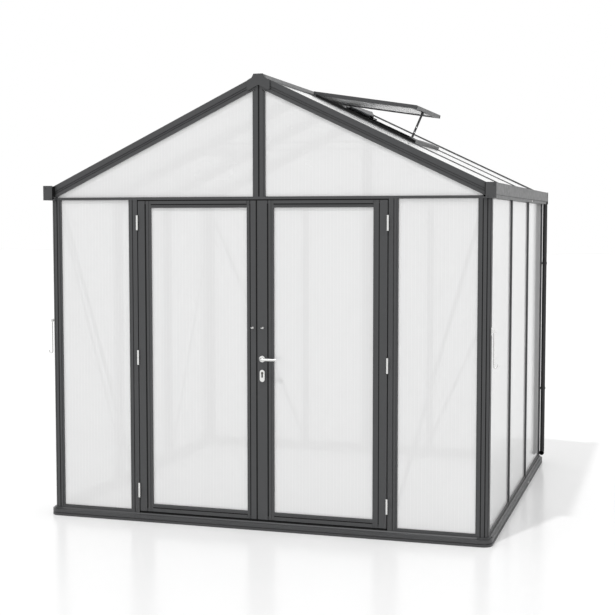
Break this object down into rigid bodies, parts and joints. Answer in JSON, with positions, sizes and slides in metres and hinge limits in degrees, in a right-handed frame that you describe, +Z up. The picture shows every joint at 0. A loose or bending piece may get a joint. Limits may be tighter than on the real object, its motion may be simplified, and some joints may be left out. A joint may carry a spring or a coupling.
{
  "type": "greenhouse",
  "caption": "Free-standing garden greenhouse with a gable roof, dark metal frame, fluted twin-wall panes, a lockable double door, gutters and an openable roof vent.",
  "frame": {"origin": "on the ground, in the middle of the width and depth", "axes": "+X to the right seen from the door, +Y from the door to the back, +Z up"},
  "size_m": [2.783, 2.697, 2.6659],
  "materials": {
    "frame_aluminium": "matt anthracite powder coat",
    "grey_aluminium": "grey anodised",
    "twin_wall_sheet": "clear fluted twin-wall sheet",
    "bright_steel": "bright satin",
    "plain_steel": "zinc plated",
    "black_plastic": "matt",
    "black_rubber": "soft seal",
    "lock_brass": "dark burnished"
  },
  "bodies": {
    "house": {"sill_ends": "frame_aluminium", "sill_sides": "frame_aluminium", "sill_corners": "frame_aluminium", "corner_posts": "frame_aluminium", "door_jambs": "frame_aluminium", "rear_wall_bars": "frame_aluminium", "side_wall_bars": "frame_aluminium", "tie_beams": "frame_aluminium", "door_stops": "frame_aluminium", "gable_mullions": "frame_aluminium", "pane_rails": "frame_aluminium", "front_side_panes": "twin_wall_sheet", "rear_wall_panes": "twin_wall_sheet", "right_wall_panes": "twin_wall_sheet", "left_wall_panes": "twin_wall_sheet", "gable_panes": "twin_wall_sheet", "gutters": "frame_aluminium", "gutter_end_caps": "frame_aluminium", "downpipes": "black_plastic", "pipe_clips": "black_plastic", "ridge_beam": "frame_aluminium", "ridge_end_caps": "frame_aluminium", "gable_rafters": "frame_aluminium", "roof_bars": "frame_aluminium", "roof_trimmers": "frame_aluminium", "roof_ties": "frame_aluminium", "eave_gussets": "frame_aluminium", "right_roof_panes": "twin_wall_sheet", "left_roof_panes": "twin_wall_sheet", "wall_braces": "frame_aluminium", "brace_bolts": "bright_steel", "jamb_hinges": "bright_steel", "hook_staples": "bright_steel", "vent_hinges": "plain_steel", "vent_seal": "black_rubber", "vent_tube": "grey_aluminium", "vent_tube_cap": "black_plastic"},
    "door_left": {"door_left_frame": "frame_aluminium", "door_left_pane": "twin_wall_sheet", "door_left_hinges": "bright_steel", "door_left_eye": "bright_steel", "strike_plate": "plain_steel", "bolt_guides": "plain_steel"},
    "door_right": {"door_right_frame": "frame_aluminium", "door_right_pane": "twin_wall_sheet", "door_right_hinges": "bright_steel", "door_right_eye": "bright_steel", "lock_case": "plain_steel", "lock_plates": "bright_steel"},
    "lever": {"lever_handle": "bright_steel"},
    "latch": {"latch_bolt": "plain_steel"},
    "cylinder": {"lock_cylinder": "lock_brass"},
    "dead": {"dead_bolt": "plain_steel"},
    "bolt_top": {"tower_bolt_top": "plain_steel"},
    "bolt_low": {"tower_bolt_low": "plain_steel"},
    "vent": {"vent_sash": "frame_aluminium", "vent_pane": "twin_wall_sheet"},
    "stay": {"vent_stay": "frame_aluminium"},
    "hook_left": {"storm_hook_left": "bright_steel"},
    "hook_right": {"storm_hook_right": "bright_steel"}
  },
  "joints": [
    {"name": "door_left_hinge", "type": "hinge", "parent": "house", "child": "door_left", "pos_m": [-0.769, -1.305, 1], "axis": [0, 0, -1], "range_deg": [0, 178]},
    {"name": "door_right_hinge", "type": "hinge", "parent": "house", "child": "door_right", "pos_m": [0.769, -1.305, 1], "axis": [0, 0, 1], "range_deg": [0, 178]},
    {"name": "lever_turn", "type": "hinge", "parent": "door_right", "child": "lever", "pos_m": [0.02, -1.297, 1.015], "axis": [0, 1, 0], "range_deg": [0, 40], "stiffness_Nm_per_rad": 1.2, "springref_deg": -20.05},
    {"name": "latch_slide", "type": "slide", "parent": "door_right", "child": "latch", "axis": [1, 0, 0], "range_m": [0, 0.012]},
    {"name": "key_turn", "type": "hinge", "parent": "door_right", "child": "cylinder", "pos_m": [0.02, -1.297, 0.932], "axis": [0, 1, 0], "range_deg": [0, 90]},
    {"name": "dead_bolt_slide", "type": "slide", "parent": "door_right", "child": "dead", "axis": [-1, 0, 0], "range_m": [0, 0.018]},
    {"name": "bolt_top_slide", "type": "slide", "parent": "door_left", "child": "bolt_top", "axis": [0, 0, 1], "range_m": [0, 0.018]},
    {"name": "bolt_low_slide", "type": "slide", "parent": "door_left", "child": "bolt_low", "axis": [0, 0, -1], "range_m": [0, 0.018]},
    {"name": "vent_hinge", "type": "hinge", "parent": "house", "child": "vent", "pos_m": [0.054, 0, 2.64362], "axis": [0, -1, 0], "range_deg": [-16.5, 20]},
    {"name": "stay_pivot", "type": "hinge", "parent": "vent", "child": "stay", "pos_m": [0.72218, -0.138, 2.51551], "axis": [0, 1, 0], "range_deg": [-3, 60]},
    {"name": "hook_left_swing", "type": "hinge", "parent": "house", "child": "hook_left", "pos_m": [-1.366, -1.262, 1.207], "axis": [0, 1, 0], "range_deg": [0, 95]},
    {"name": "hook_right_swing", "type": "hinge", "parent": "house", "child": "hook_right", "pos_m": [1.366, -1.262, 1.207], "axis": [0, -1, 0], "range_deg": [0, 95]}
  ],
  "couplings": [
    {"joint": "latch_slide", "follows": "lever_turn", "m_per_rad": 0.0171},
    {"joint": "key_turn", "follows": "dead_bolt_slide", "rad_per_m": 87.266}
  ]
}
